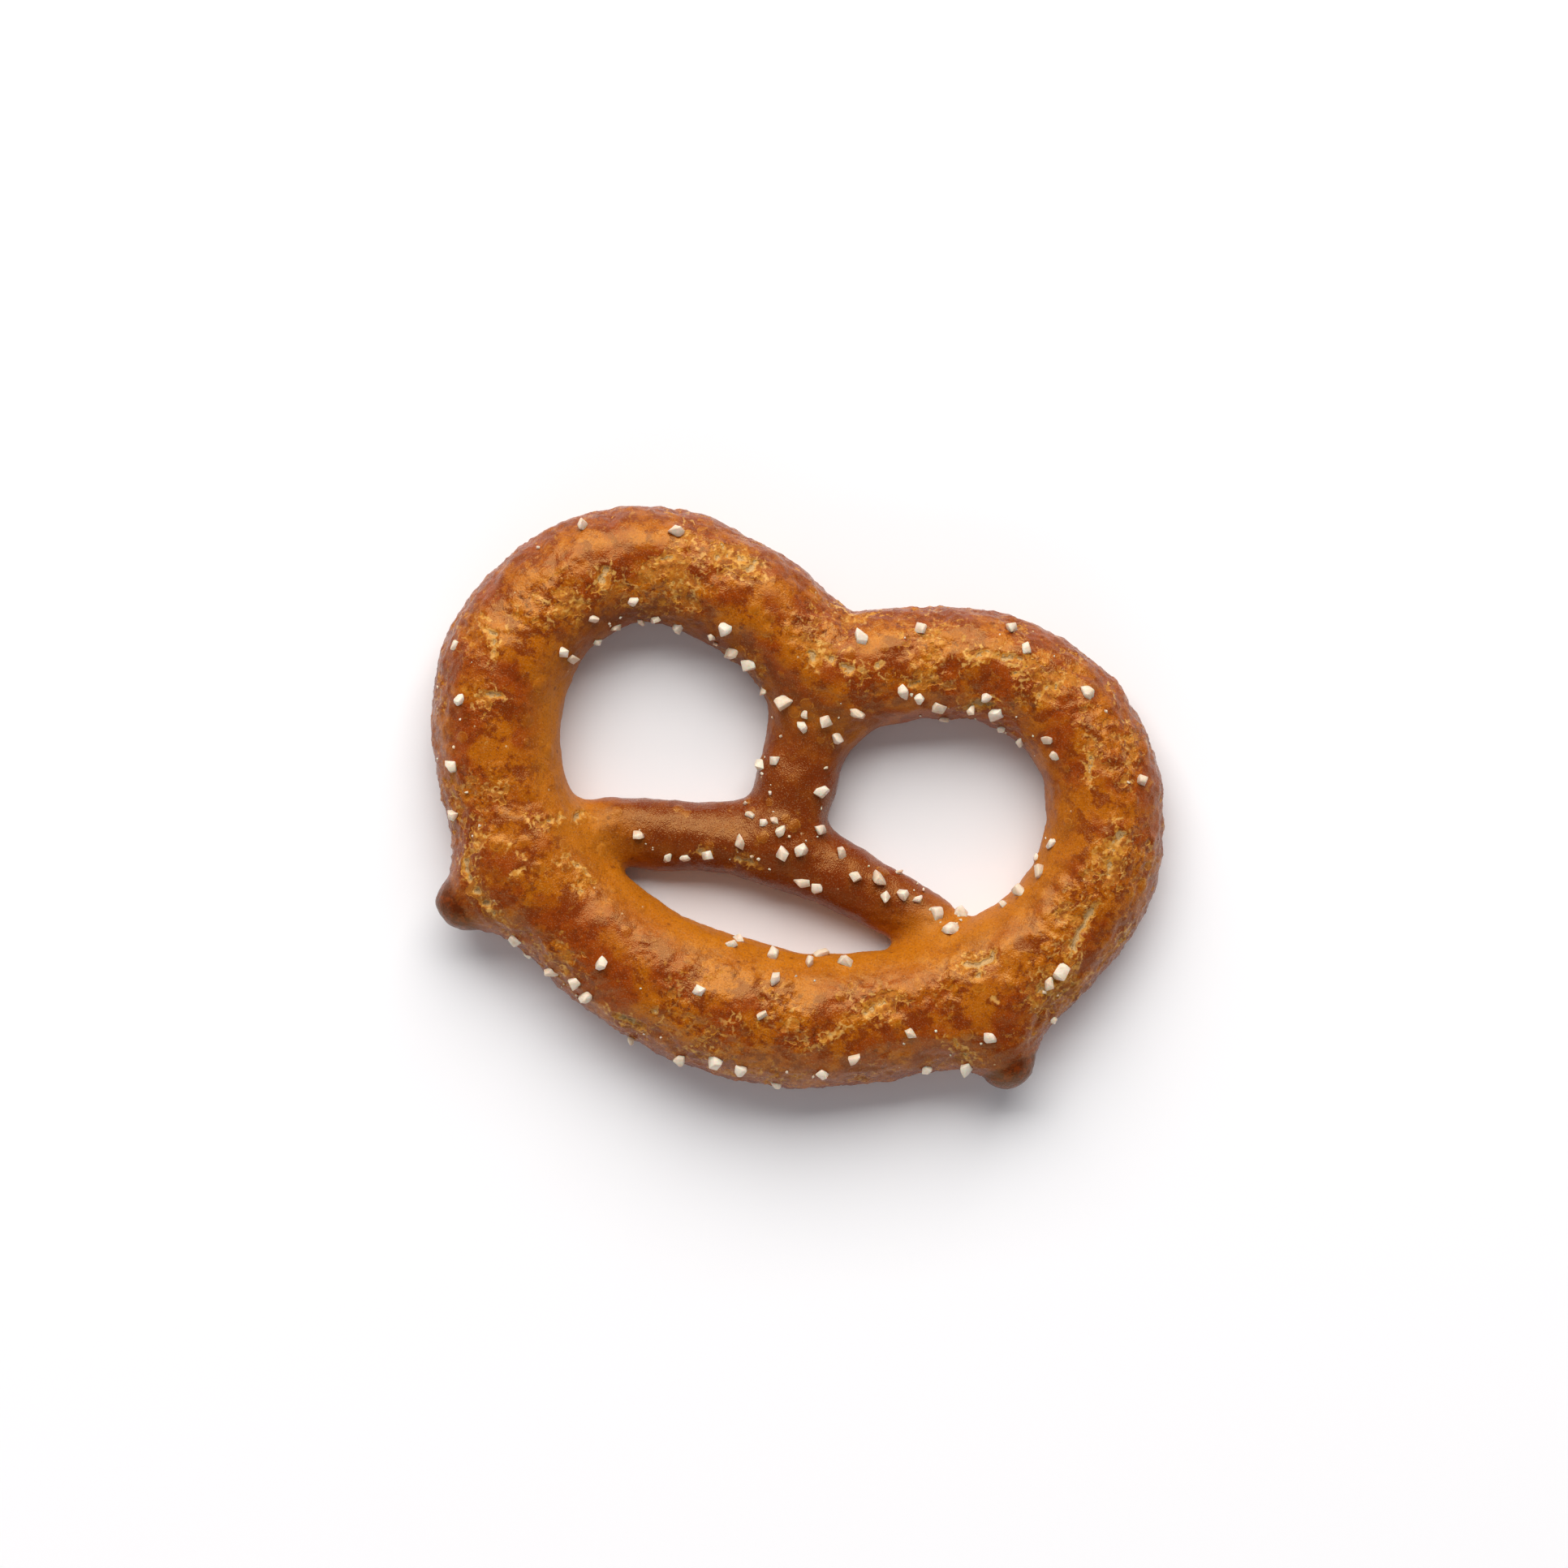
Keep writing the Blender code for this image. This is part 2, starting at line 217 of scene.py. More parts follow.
# A branch: its chance at each step, its turn in degrees, and its share of the crack's length and opening.
BRANCH_CHANCE = 0.013
BRANCH_TURN = (35.0, 75.0)
BRANCH_LENGTH = (0.15, 0.4)
BRANCH_OPENED = 0.7
# Lesser cracks on the ring: how many, their turn (least, most and usual), length in millimetres, spread of
# headings and opening.
LESSER_CRACKS = 46
LESSER_TURN = (-85, 60, -25)
LESSER_LENGTH = (0.7, 2.6)
LESSER_HEADING = 40
LESSER_OPENED = (0.12, 0.5)

# Blisters: how many, how they are shared out, their turn from straight up in degrees, and their radii.
BLISTER_SEED = 3
BLISTERS = 84
BLISTER_SHARES = {"ring": 9, "trunk": 1.8, "arms": 5}
BLISTER_TURN = (-80, 60)
BLISTER_RADIUS = (0.22 * MM, 0.50 * MM)
BLISTER_FAR = 3

# Zones of the crust: where each starts and where it is full. The arm's is the distance from the ring's
# strand, the sides' are in half widths of the ring towards its inner or outer side, and the tips' is the
# distance from the middle of a tip's darkest part, which lies ahead of the tip's last station.
ARM_FADE = (0.1 * MM, 3.6 * MM)
LOBE_FADE = (3 * MM, 9 * MM)
# The gold-coloured lower inner side is partly less-baked dough and partly painted light, where that side
# faces the key light.
LIT_GOLDEN_SIDE = (0.30, 0.95)
# Painted shade: the lobes' inner side, which faces away from the key light, is darkened to a dark brown,
# less so towards the right lobe.
SHADED_LOBE_SIDE = (0.35, 0.95)
SHADED_LOBE_FADE = (0, 5 * MM)
SHADED_LOBE_LESS = 0.75
OUTER_SIDE = (0.45, 1.0)
TIP_AHEAD = 0.6 * MM
TIP_HEIGHT = 2.9 * MM
TIP_FADE = (1.4 * MM, 2.5 * MM)
FOOT_FADE = (0.05 * MM, 0.9 * MM)

# Relief of the crust: heights, sizes, and how much of each is left where the crust is smooth.
RIPPLE_HEIGHT = 0.13 * MM
RIPPLE_SIZE = 1.7 * MM
PEBBLE_HEIGHT = 0.13 * MM
PEBBLE_SIZE = 0.75 * MM
PEBBLE_LEAST = 0.25
GRAIN_HEIGHT = 0.022 * MM
GRAIN_SIZE = 0.38 * MM
GRAIN_LEAST = 0.4
BLISTER_HEIGHT = 0.09 * MM
COLLAR_HEIGHT = 0.05 * MM
COLLAR_WIDTH = 0.16 * MM
PORE_SIZE = 0.65 * MM
PORE_SPREAD = (0.30, 0.55)
PORE_DEPTH = 0.12 * MM
FOOT_CALM = 0.85

# Open cracks: their depth and reach, how far out they are felt in reaches, how they come and go along their
# length, and the lips that stand up beside them.
CRACK_DEPTH = 0.20 * MM
CRACK_REACH = 0.23 * MM
CRACK_LIMIT = 2.4
CRACK_GAIN = 1.4
CRACK_OPEN = (0.40, 0.90)
GAPE_SIZE = 0.65 * MM
GAPE_SPREAD = (-0.35, 0.15)
GAPE_LEAST = 0.45
LIP_HEIGHT = 0.06 * MM
LIP_RISE = (0.05, 0.25)
LIP_FALL = (0.25, 0.55)

# Roughness in broad patches and on the outer side, and how much smoother the arms, the gold-coloured
# inner side with its painted light, and the tips are.
ROUGH_SIZE = 3.2 * MM
ROUGH_SPREAD = (-0.35, 0.30)
ROUGH_OUTER = 0.7
ARM_SMOOTH = 0.9
LIT_GOLDEN_SMOOTH = 0.8
TIP_SMOOTH = 0.6

# The glossy skin over the dough, which is missing in flakes and round the cracks: how well it holds, how
# much better where the crust is smooth, and how the cracks tear it.
FLAKE_SIZE = 0.85 * MM
SKIN_THICKNESS = 0.045 * MM
SKIN_EDGE = (-0.1, 0.15)
SKIN_HOLD = 0.50
SMOOTH_HOLD = 1.1
TEAR_REACH = 0.55 * MM
TEAR_PULL = 1.4

# What is noted on the crust for its material.
NOTED = (
    "arm", "lit_golden", "shaded_lobe", "outer", "tip", "foot", "pore", "rough", "skin", "gape", "torn", "blister",
)

# Colours of the crust.
ORANGE = (0.44, 0.112, 0.001)
AMBER = (0.30, 0.044, 0.001)
# Partly painted light: the lower inner side, where it faces the key light, is coloured a lighter gold.
LIT_GOLDEN = (0.50, 0.150, 0.001)
TOASTED = (0.195, 0.024, 0.001)
ARM_BROWN = (0.175, 0.024, 0.001)
# Also used for the painted shade on the lobes' inner side, besides the dark dapples and the foot's pores.
DEEP_BROWN = (0.115, 0.016, 0.001)
BURNT = (0.085, 0.010, 0.001)
DOUGH = (0.46, 0.140, 0.006)
OCHRE = (0.58, 0.235, 0.025)
PALE = (0.70, 0.38, 0.10)
CRUMB = (0.52, 0.34, 0.16)
# Painted shade: the dark of small pits inside the cracks.
PIT_SHADE = (0.16, 0.075, 0.025)
SPECK = (0.13, 0.020, 0.002)
# Pale dots: dust specks, and also painted glints across the crust.
DUST_AND_GLINT = (0.62, 0.42, 0.22)
FOOT_TAN = (0.46, 0.195, 0.045)
FOOT_BROWN = (0.27, 0.085, 0.012)

# The crust's colour patterns, by their width in millimetres.
BROAD_WIDTH = 5.0
PATCH_WIDTH = 2.3
VEIN_WIDTH = 1.3
CLOUD_WIDTH = 1.1
SPECK_SPACING = 1.1
DAPPLE_WIDTH = 0.50
WISP_WIDTH = 0.42
FRAY_WIDTH = 0.30
GRAIN_WIDTH = 0.13
GLINT_WIDTH = 0.07

# The crust's shine, and the height of its finest relief.
DULL = 0.60
SHINE_LEVEL = 0.68
WARM_SHINE = (1.0, 0.65, 0.25, 1)
CRUST_BUMP = 0.05 * MM

# The salt's colours, patterns and glow.
SALT_WHITE = (0.80, 0.71, 0.57)
SALT_CREAM = (0.68, 0.53, 0.37)
SALT_CLOUD_WIDTH = 0.35
SALT_PIT_WIDTH = 0.12
SALT_BUMP = 0.03 * MM
SALT_IOR = 1.5
SALT_GLOW = 0.35
SALT_GLOW_DEPTH = 0.0004

# The photograph's framing: the square picture's width and the pretzel's middle in it, in pixels, and the
# pretzel's scale and turn.
PICTURE_PIXELS = 1932
MIDDLE_PIXEL = (964, 1009)
PIXELS_PER_MM = 20.2
PRETZEL_TURN = math.radians(17)
PICTURE_RIGHT = Vector((math.cos(PRETZEL_TURN), math.sin(PRETZEL_TURN), 0))
PICTURE_UP = Vector((-math.sin(PRETZEL_TURN), math.cos(PRETZEL_TURN), 0))
CAMERA_HEIGHT = 0.45
CAMERA_NEAR = 0.01
CROWN_HEIGHT = 3.5 * MM
SENSOR = 36.0

# The studio: a large soft box beyond the top of the picture and a weaker one below it, each at a place in
# the picture's own directions in metres, a white table, and a surround by its height's fade and strength.
KEY_LIGHT = {
    "right": -0.05,
    "up": 0.66,
    "height": 0.64,
    "size": (1.15, 0.75),
    "power": 13.5,
    "colour": (1.0, 0.975, 0.95),
}
FILL_LIGHT = {
    "right": -0.10,
    "up": -0.80,
    "height": 0.34,
    "size": (1.20, 0.40),
    "power": 1.5,
    "colour": (1, 1, 1),
}
TABLE_WIDTH = 3.0
TABLE_GAP = 0.02 * MM
PAPER_WHITE = (0.97, 0.97, 0.985, 1)
SURROUND_FADE = (0.15, 0.6)
SURROUND_STRENGTH = (0.60, 0.15)
SURROUND_WHITE = (0.92, 0.94, 1.0, 1)


def along_curve(before, start, end, after, t):
    """Points of the smooth curve that runs from start to end, between the stations before and after."""
    bend = 2 * before - 5 * start + 4 * end - after
    twist = 3 * start - before - 3 * end + after
    return (2 * start + (end - before) * t + bend * t**2 + twist * t**3) / 2


def middle_height(half, lift):
    """Height of a section's middle over the baking sheet."""
    return lift + half * SECTION_RISE * (1 - 2 * FOOT_SUNK)


class Strand:
    """A roll of dough: rows of x, y, half width and lift in metres, close together on a smooth curve
    through its stations, with the station number and the length so far of each row."""

    def __init__(self, stations, closed=False):
        self.closed = closed
        marks = np.array(stations) * MM
        marks[:, :2] += np.array(CENTRING) * MM
        count = len(marks)
        pieces = []
        numbers = []
        for i in range(count if closed else count - 1):
            around = [j % count if closed else min(max(j, 0), count - 1) for j in range(i - 1, i + 3)]
            run = np.linalg.norm(marks[around[2], :2] - marks[around[1], :2])
            steps = max(2, math.ceil(run / ROW_STEP))
            t = np.arange(steps)[:, None] / steps
            pieces.append(along_curve(*marks[around], t))
            numbers.append(i + t[:, 0])
        if not closed:
            pieces.append(marks[-1:])
            numbers.append(np.array([count - 1.0]))
        self.rows = np.vstack(pieces)
        self.numbers = np.concatenate(numbers)
        self.ends = self.rows[:0] if closed else self.rows[[0, -1]]
        steps = np.linalg.norm(np.diff(self.rows[:, :2], axis=0), axis=1)
        self.lengths = np.concatenate([[0.0], np.cumsum(steps)])
        self.tree = KDTree(len(self.rows))
        for number, (x, y, _, _) in enumerate(self.rows):
            self.tree.insert((x, y, 0), number)
        self.tree.balance()

    def nearest(self, points):
        """The row that is nearest in plan to each point."""
        return np.array([self.tree.find((x, y, 0))[1] for x, y, _ in points])

    def depth(self, points, nearest):
        """How far each point lies outside the rounded section, negative inside."""
        depths = []
        for first in (nearest - 1, nearest):
            if not self.closed:
                first = np.clip(first, 0, len(self.rows) - 2)
            here = self.rows[first]
            ahead = self.rows[(first + 1) % len(self.rows)] - here
            run = ahead[:, :2]
            share = ((points[:, :2] - here[:, :2]) * run).sum(axis=1) / (run**2).sum(axis=1)
            x, y, half, lift = (here + ahead * np.clip(share, 0, 1)[:, None]).T
            up = (points[:, 2] - middle_height(half, lift)) / SECTION_RISE
            depths.append(np.sqrt((points[:, 0] - x) ** 2 + (points[:, 1] - y) ** 2 + up**2) - half)
        return np.minimum(*depths)

    def spot(self, number, turn):
        """The place at a station number, turned from straight up towards the left of the strand's run."""
        at = int(np.argmin(np.abs(self.numbers - number)))
        return self.row_spot(at, turn)

    def row_spot(self, at, turn):
        """The place at a row, turned from straight up towards the left of the strand's run."""
        x, y, half, lift = (float(value) for value in self.rows[at])
        ahead = self.rows[(at + 1) % len(self.rows)] - self.rows[at - 1]
        left = Vector((-ahead[1], ahead[0])).normalized() * math.sin(turn)
        return Vector((x, y, middle_height(half, lift))) + Vector((left.x, left.y, math.cos(turn))) * half

    def leftness(self, points, nearest):
        """How far each point lies to the left of the strand's run, in half widths."""
        last = len(self.rows) - 1
        before = (nearest - 1) if self.closed else np.clip(nearest - 1, 0, last)
        after = (nearest + 1) % len(self.rows) if self.closed else np.clip(nearest + 1, 0, last)
        ahead = self.rows[after, :2] - self.rows[before, :2]
        left = np.stack([-ahead[:, 1], ahead[:, 0]], axis=1) / np.linalg.norm(ahead, axis=1)[:, None]
        return ((points[:, :2] - self.rows[nearest, :2]) * left).sum(axis=1) / self.rows[nearest, 2]


STRANDS = {
    "ring": Strand(RING, closed=True),
    "trunk": Strand(TRUNK),
    "arms": Strand(ARMS),
    "left_tip": Strand(LEFT_TIP),
    "right_tip": Strand(RIGHT_TIP),
}


def blend_out(a, b, width):
    """The smaller of two depths, with a fillet where they are alike."""
    near = np.clip(width - np.abs(a - b), 0, None) / width
    return np.minimum(a, b) - near**2 * width / 4


def waves(points, size, octaves=1):
    """Smooth random swellings of that size, about -1 to 1 at each point, with finer ones in them."""
    if octaves == 1:
        return np.array([noise.noise(Vector(p) / size) for p in points])
    return np.array([noise.fractal(Vector(p) / size, WAVE_SHARE, WAVE_FINER, octaves) for p in points])


def ease(value, low, high):
    """From 0 at low to 1 at high, smoothly."""
    t = np.clip((value - low) / (high - low), 0, 1)
    return t * t * (3 - 2 * t)


def at_least(share, value):
    """From the share at 0 to 1 at 1."""
    return share + (1 - share) * value


def nearest_rows(points):
    """For each strand, its row nearest to each point."""
    return {name: strand.nearest(points) for name, strand in STRANDS.items()}


def dough_depth(points, near):
    """How far each point lies outside the whole pretzel, negative inside."""
    depths = {name: strand.depth(points, near[name]) for name, strand in STRANDS.items()}
    depth = blend_out(depths["ring"], depths["trunk"], TRUNK_BLEND)
    depth = blend_out(depth, depths["arms"], ARM_BLEND)
    depth = blend_out(depth, depths["left_tip"], TIP_BLEND)
    depth = blend_out(depth, depths["right_tip"], TIP_BLEND)
    lumps = waves(points, LUMP_SIZE) * LUMP_HEIGHT
    return -blend_out(-depth - lumps, points[:, 2], FOOT_EDGE)


def dough_slope(points, near):
    """Direction in which the depth grows fastest at each point, and how fast."""
    ways = np.eye(3) * SLOPE_STEP
    rises = [dough_depth(points + way, near) - dough_depth(points - way, near) for way in ways]
    return np.stack(rises, axis=1) / (2 * SLOPE_STEP)


def settled(points, rounds=ROUGH_ROUNDS):
    """The points moved onto the pretzel's surface."""
    for _ in range(rounds):
        near = nearest_rows(points)
        slope = dough_slope(points, near)
        steep = np.clip((slope**2).sum(axis=1), LEAST_STEEPNESS, None)
        points = points - slope * (dough_depth(points, near) / steep)[:, None]
    return points


def only(*chosen):
    """Selects these objects and nothing else, and makes the first one active."""
    bpy.ops.object.select_all(action="DESELECT")
    for piece in chosen:
        piece.select_set(True)
    bpy.context.view_layer.objects.active = chosen[0]


def vertices(piece):
    """The piece's vertices as an array."""
    flat = np.empty(len(piece.data.vertices) * 3)
    piece.data.vertices.foreach_get("co", flat)
    return flat.reshape(-1, 3)


def place_vertices(piece, points):
    """Moves the piece's vertices to the points."""
    piece.data.vertices.foreach_set("co", points.ravel())
    piece.data.update()


def note(piece, name, values):
    """Keeps one number for each vertex of the piece, which its material reads by name."""
    piece.data.attributes.new(name, "FLOAT", "POINT").data.foreach_set("value", values.astype(np.float32))


def rolled(strand):
    """A strand as a round roll of dough, with rounded ends, as mesh pieces."""
    bpy.ops.curve.primitive_nurbs_path_add()
    roll = bpy.context.object
    roll.data.splines.clear()
    spline = roll.data.splines.new("POLY")
    spline.points.add(len(strand.rows) - 1)
    spline.use_cyclic_u = strand.closed
    for point, (x, y, half, lift) in zip(spline.points, strand.rows):
        point.co = (x, y, middle_height(half, lift), 1)
        point.radius = half * SECTION_RISE
    roll.data.bevel_depth = 1.0
    roll.data.bevel_resolution = ROLL_ROUNDNESS
    roll.data.use_fill_caps = True
    only(roll)
    bpy.ops.object.convert(target="MESH")
    pieces = [bpy.context.object]
    for x, y, half, lift in strand.ends:
        radius = half * SECTION_RISE
        middle = (x, y, middle_height(half, lift))
        bpy.ops.mesh.primitive_ico_sphere_add(subdivisions=CAP_ROUNDNESS, radius=radius, location=middle)
        pieces.append(bpy.context.object)
    return pieces


def skinned(piece, voxel):
    """Presses all that the piece holds into one closed skin of even squares."""
    only(piece)
    skin = piece.modifiers.new("skin", "REMESH")
    skin.mode = "VOXEL"
    skin.voxel_size = voxel
    bpy.ops.object.modifier_apply(modifier="skin")


def crack_line(draw, strand, row_length, turn, length, heading, opened, branches=True):
    """One crack as a list of places and how far it is open there: a walk that wanders and branches."""
    line = []
    aim = heading
    steps = max(4, int(length / CRACK_STEP))
    total = strand.lengths[-1]
    for i in range(steps):
        taper = math.sin(math.pi * (i + 0.5) / steps) ** CRACK_TAPER
        if strand.closed:
            row_length %= total
        at = min(int(np.searchsorted(strand.lengths, row_length)), len(strand.rows) - 1)
        line.append((strand.row_spot(at, turn), opened * taper))
        heading += draw.gauss(0, CRACK_WANDER) + (aim - heading) * CRACK_RETURN
        row_length += CRACK_STEP * math.cos(math.radians(heading))
        turn += CRACK_STEP * math.sin(math.radians(heading)) / float(strand.rows[at][2])
        if branches and draw.random() < BRANCH_CHANCE:
            side = heading + draw.choice((-1, 1)) * draw.uniform(*BRANCH_TURN)
            part = length * draw.uniform(*BRANCH_LENGTH)
            less = opened * taper * BRANCH_OPENED
            line += crack_line(draw, strand, row_length, turn, part, side, less, branches=False)
    return line


def crack_places():
    """Places along all the cracks, settled on the crust, and how far each is open."""
    draw = random.Random(CRACK_SEED)
    line = []
    for name, number, turn, length, heading, opened in CRACKS:
        strand = STRANDS[name]
        row_length = float(np.interp(number, strand.numbers, strand.lengths))
        start = row_length - length * MM / 2 * math.cos(math.radians(heading))
        line += crack_line(draw, strand, start, math.radians(turn), length * MM, heading, opened)
    ring = STRANDS["ring"]
    for _ in range(LESSER_CRACKS):
        turn = math.radians(draw.triangular(*LESSER_TURN))
        length = draw.uniform(*LESSER_LENGTH) * MM
        heading = draw.gauss(0, LESSER_HEADING)
        row_length = draw.uniform(0, ring.lengths[-1])
        opened = draw.uniform(*LESSER_OPENED)
        line += crack_line(draw, ring, row_length, turn, length, heading, opened)
    places = settled(np.array([tuple(place) for place, _ in line]))
    return places, np.array([opened for _, opened in line])


def blister_places():
    """Middles and radii of the blisters, settled on the crust."""
    draw = random.Random(BLISTER_SEED)
    places = []
    for _ in range(BLISTERS):
        name = draw.choices(tuple(BLISTER_SHARES), tuple(BLISTER_SHARES.values()))[0]
        strand = STRANDS[name]
        number = draw.uniform(0, strand.numbers[-1])
        places.append(tuple(strand.spot(number, math.radians(draw.uniform(*BLISTER_TURN)))))
    radii = np.array([draw.uniform(*BLISTER_RADIUS) for _ in places])
    return settled(np.array(places)), radii


def tree_of(places):
    """The places, arranged for finding those that are near a point."""
    tree = KDTree(len(places))
    for number, place in enumerate(places):
        tree.insert(place, number)
    tree.balance()
    return tree


def from_places(points, places):
    """Distance from each point to the nearest of the places, and which one it is."""
    tree = tree_of(places)
    found = [tree.find(point) for point in points]
    return np.array([f[2] for f in found]), np.array([f[1] for f in found])


def crack_pull(points, places, opened, reach):
    """How near each point is to the cracks, weighed by how far they are open: 0 far off, near 1 in a
    crack."""
    tree = tree_of(points)
    pull = np.zeros(len(points))
    for place, share in zip(places, opened):
        for _, number, distance in tree.find_range(place, CRACK_LIMIT * reach):
            pull[number] += share * math.exp(-((distance / reach) ** 2))
    return 1 - np.exp(-pull * CRACK_GAIN * CRACK_STEP / reach)


def salt_places():
    """Each grain's place on the crust, the way out from it, its width, its spin and its stretch."""
    draw = random.Random(SALT_SEED)
    grains = []
    for strand, first, last, low, high, count in SALT_ZONES:
        for i in range(count):
            for _ in range(SALT_TRIES):
                number = first + (last - first) * (i + draw.random()) / count
                start = STRANDS[strand].spot(number, math.radians(draw.uniform(low, high)))
                width = draw.uniform(*SALT_WIDTH) * MM
                gaps = [(start - other).length - SALT_CLEARANCE * (width + w) / 2 for other, w, *_ in grains]
                if min(gaps, default=1) > 0:
                    break
            spin = Euler([draw.uniform(0, math.tau) for _ in range(3)])
            grains.append((start, width, spin, draw.random()))
    points = settled(np.array([tuple(start) for start, *_ in grains]))
    slopes = dough_slope(points, nearest_rows(points))
    ways = [Vector(slope).normalized() for slope in slopes]
    return [(Vector(point), way, *grain[1:]) for point, way, grain in zip(points, ways, grains)]


def joined_dough():
    """The strands as rolls of dough, pressed into one closed skin near the pretzel's surface."""
    pieces = [piece for strand in STRANDS.values() for piece in rolled(strand)]
    only(*pieces)
    bpy.ops.object.join()
    dough = bpy.context.object
    dough.name = dough.data.name = "crust"
    bpy.ops.object.transform_apply(location=True, rotation=True, scale=True)
    skinned(dough, ROUGH_VOXEL)
    place_vertices(dough, settled(vertices(dough)))
    skinned(dough, FINE_VOXEL)
    return dough


def tip_ends():
    """The middle of each tip's darkest part."""
    ends = []
    for name in ("left_tip", "right_tip"):
        before, last = STRANDS[name].rows[-2:]
        ahead = Vector(last[:2] - before[:2]).normalized() * TIP_AHEAD
        ends.append((last[0] + ahead.x, last[1] + ahead.y, TIP_HEIGHT))
    return ends


def zones(points, near):
    """How far each point belongs to the arms, the gold-coloured lower inner side that is partly
    painted light, the painted shade on the lobes' inner side, the outer side, the tips and the foot, each
    from 0 to 1."""
    ring = STRANDS["ring"].depth(points, near["ring"])
    inner = STRANDS["ring"].leftness(points, near["ring"])
    tip_distance, _ = from_places(points, tip_ends())
    arm = ease(ring, *ARM_FADE)
    lobes = ease(points[:, 1], *LOBE_FADE)
    return SimpleNamespace(
        arm=arm,
        # Partly painted light: the lower inner side that faces the key light, away from the lobes.
        lit_golden=ease(inner, *LIT_GOLDEN_SIDE) * (1 - arm) * (1 - lobes),
        # Painted shade on the lobes' inner side, which faces away from the key light.
        shaded_lobe=ease(inner, *SHADED_LOBE_SIDE) * lobes * (1 - SHADED_LOBE_LESS * ease(points[:, 0], *SHADED_LOBE_FADE)),
        outer=ease(-inner, *OUTER_SIDE),
        tip=1 - ease(tip_distance, *TIP_FADE),
        foot=1 - ease(points[:, 2], *FOOT_FADE),
    )


def add_cracks(at, points):
    """Adds how near each point is to an open crack, and to the skin that it has torn."""
    places, opened = crack_places()
    at.gape = crack_pull(points, places, opened, CRACK_REACH)
    at.gape *= at_least(GAPE_LEAST, ease(waves(points, GAPE_SIZE), *GAPE_SPREAD))
    at.torn = crack_pull(points, places, opened, TEAR_REACH)


def add_skin(at, points):
    """Adds how rough the crust is, and where its glossy skin holds, above 0, or is missing, below."""
    at.rough = np.maximum(ease(waves(points, ROUGH_SIZE), *ROUGH_SPREAD), ROUGH_OUTER * at.outer)
    at.rough *= (1 - ARM_SMOOTH * at.arm) * (1 - LIT_GOLDEN_SMOOTH * at.lit_golden) * (1 - TIP_SMOOTH * at.tip)
    at.skin = waves(points, FLAKE_SIZE, 3) + SKIN_HOLD + SMOOTH_HOLD * (1 - at.rough) - TEAR_PULL * at.torn


def add_spots(at, points, salt):
    """Adds how far off the nearest blister is, in its radii, the gap to the salt, and the foot's pores."""
    middles, radii = blister_places()
    distance, which = from_places(points, middles)
    at.blister = np.minimum(distance / radii[which], BLISTER_FAR)
    distance, which = from_places(points, [tuple(place) for place, *_ in salt])
    at.salt_gap = distance - 0.5 * np.array([width for _, _, width, *_ in salt])[which]
    at.pore = ease(waves(points, PORE_SIZE, 2), *PORE_SPREAD) * at.foot


def relief(at, points):
    """How far the crust stands out from the smooth pretzel at each point."""
    height = waves(points, RIPPLE_SIZE) * RIPPLE_HEIGHT
    height += waves(points, PEBBLE_SIZE, 3) * PEBBLE_HEIGHT * at_least(PEBBLE_LEAST, at.rough)
    height += waves(points, GRAIN_SIZE) * GRAIN_HEIGHT * at_least(GRAIN_LEAST, at.rough)
    height += SKIN_THICKNESS * ease(at.skin, *SKIN_EDGE)
    height -= CRACK_DEPTH * ease(at.gape, *CRACK_OPEN)
    height += LIP_HEIGHT * ease(at.gape, *LIP_RISE) * (1 - ease(at.gape, *LIP_FALL))
    height += BLISTER_HEIGHT * np.clip(1 - at.blister**2, 0, None)
    height += COLLAR_HEIGHT * np.exp(-((np.clip(at.salt_gap, 0, None) / COLLAR_WIDTH) ** 2))
    height *= 1 - FOOT_CALM * at.foot
    return height - PORE_DEPTH * at.pore


def baked_crust(salt):
    """The pretzel's body: its dough settled on the pretzel's form and given relief, with the numbers that
    its material reads noted on it."""
    crust = joined_dough()
    points = settled(vertices(crust), FINE_ROUNDS)
    near = nearest_rows(points)
    outward = dough_slope(points, near)
    outward /= np.linalg.norm(outward, axis=1)[:, None]
    at = zones(points, near)
    add_cracks(at, points)
    add_skin(at, points)
    add_spots(at, points, salt)
    points = points + outward * relief(at, points)[:, None]
    points[:, 2] = np.clip(points[:, 2], 0, None)
    place_vertices(crust, points)
    for name in NOTED:
        note(crust, name, getattr(at, name))
    only(crust)
    bpy.ops.object.shade_smooth()
    return crust


def crystal(draw, number):
    """One crystal a metre wide: a cube with its corners broken off and its edges worn."""
    bpy.ops.mesh.primitive_cube_add(size=1)
    stone = bpy.context.object
    stone.name = f"crystal_{number}"
    bpy.ops.object.mode_set(mode="EDIT")
    for _ in range(CRYSTAL_CUTS):
        way = Vector([draw.gauss(0, 1) for _ in range(3)]).normalized()
        middle = way * draw.uniform(*CRYSTAL_CUT_DEPTH)
        bpy.ops.mesh.select_all(action="SELECT")
        bpy.ops.mesh.bisect(plane_co=middle, plane_no=way, use_fill=True, clear_outer=True)
    bpy.ops.mesh.select_all(action="SELECT")
    bpy.ops.mesh.remove_doubles(threshold=CRYSTAL_MERGE)
    bpy.ops.mesh.bevel(offset=CRYSTAL_WEAR, segments=1, clamp_overlap=True)
    bpy.ops.mesh.select_all(action="SELECT")
    bpy.ops.mesh.remove_doubles(threshold=CRYSTAL_FINEST)
    bpy.ops.mesh.dissolve_degenerate(threshold=CRYSTAL_FINEST)
    bpy.ops.mesh.select_all(action="SELECT")
    bpy.ops.mesh.normals_make_consistent(inside=False)
    bpy.ops.object.mode_set(mode="OBJECT")
    return stone


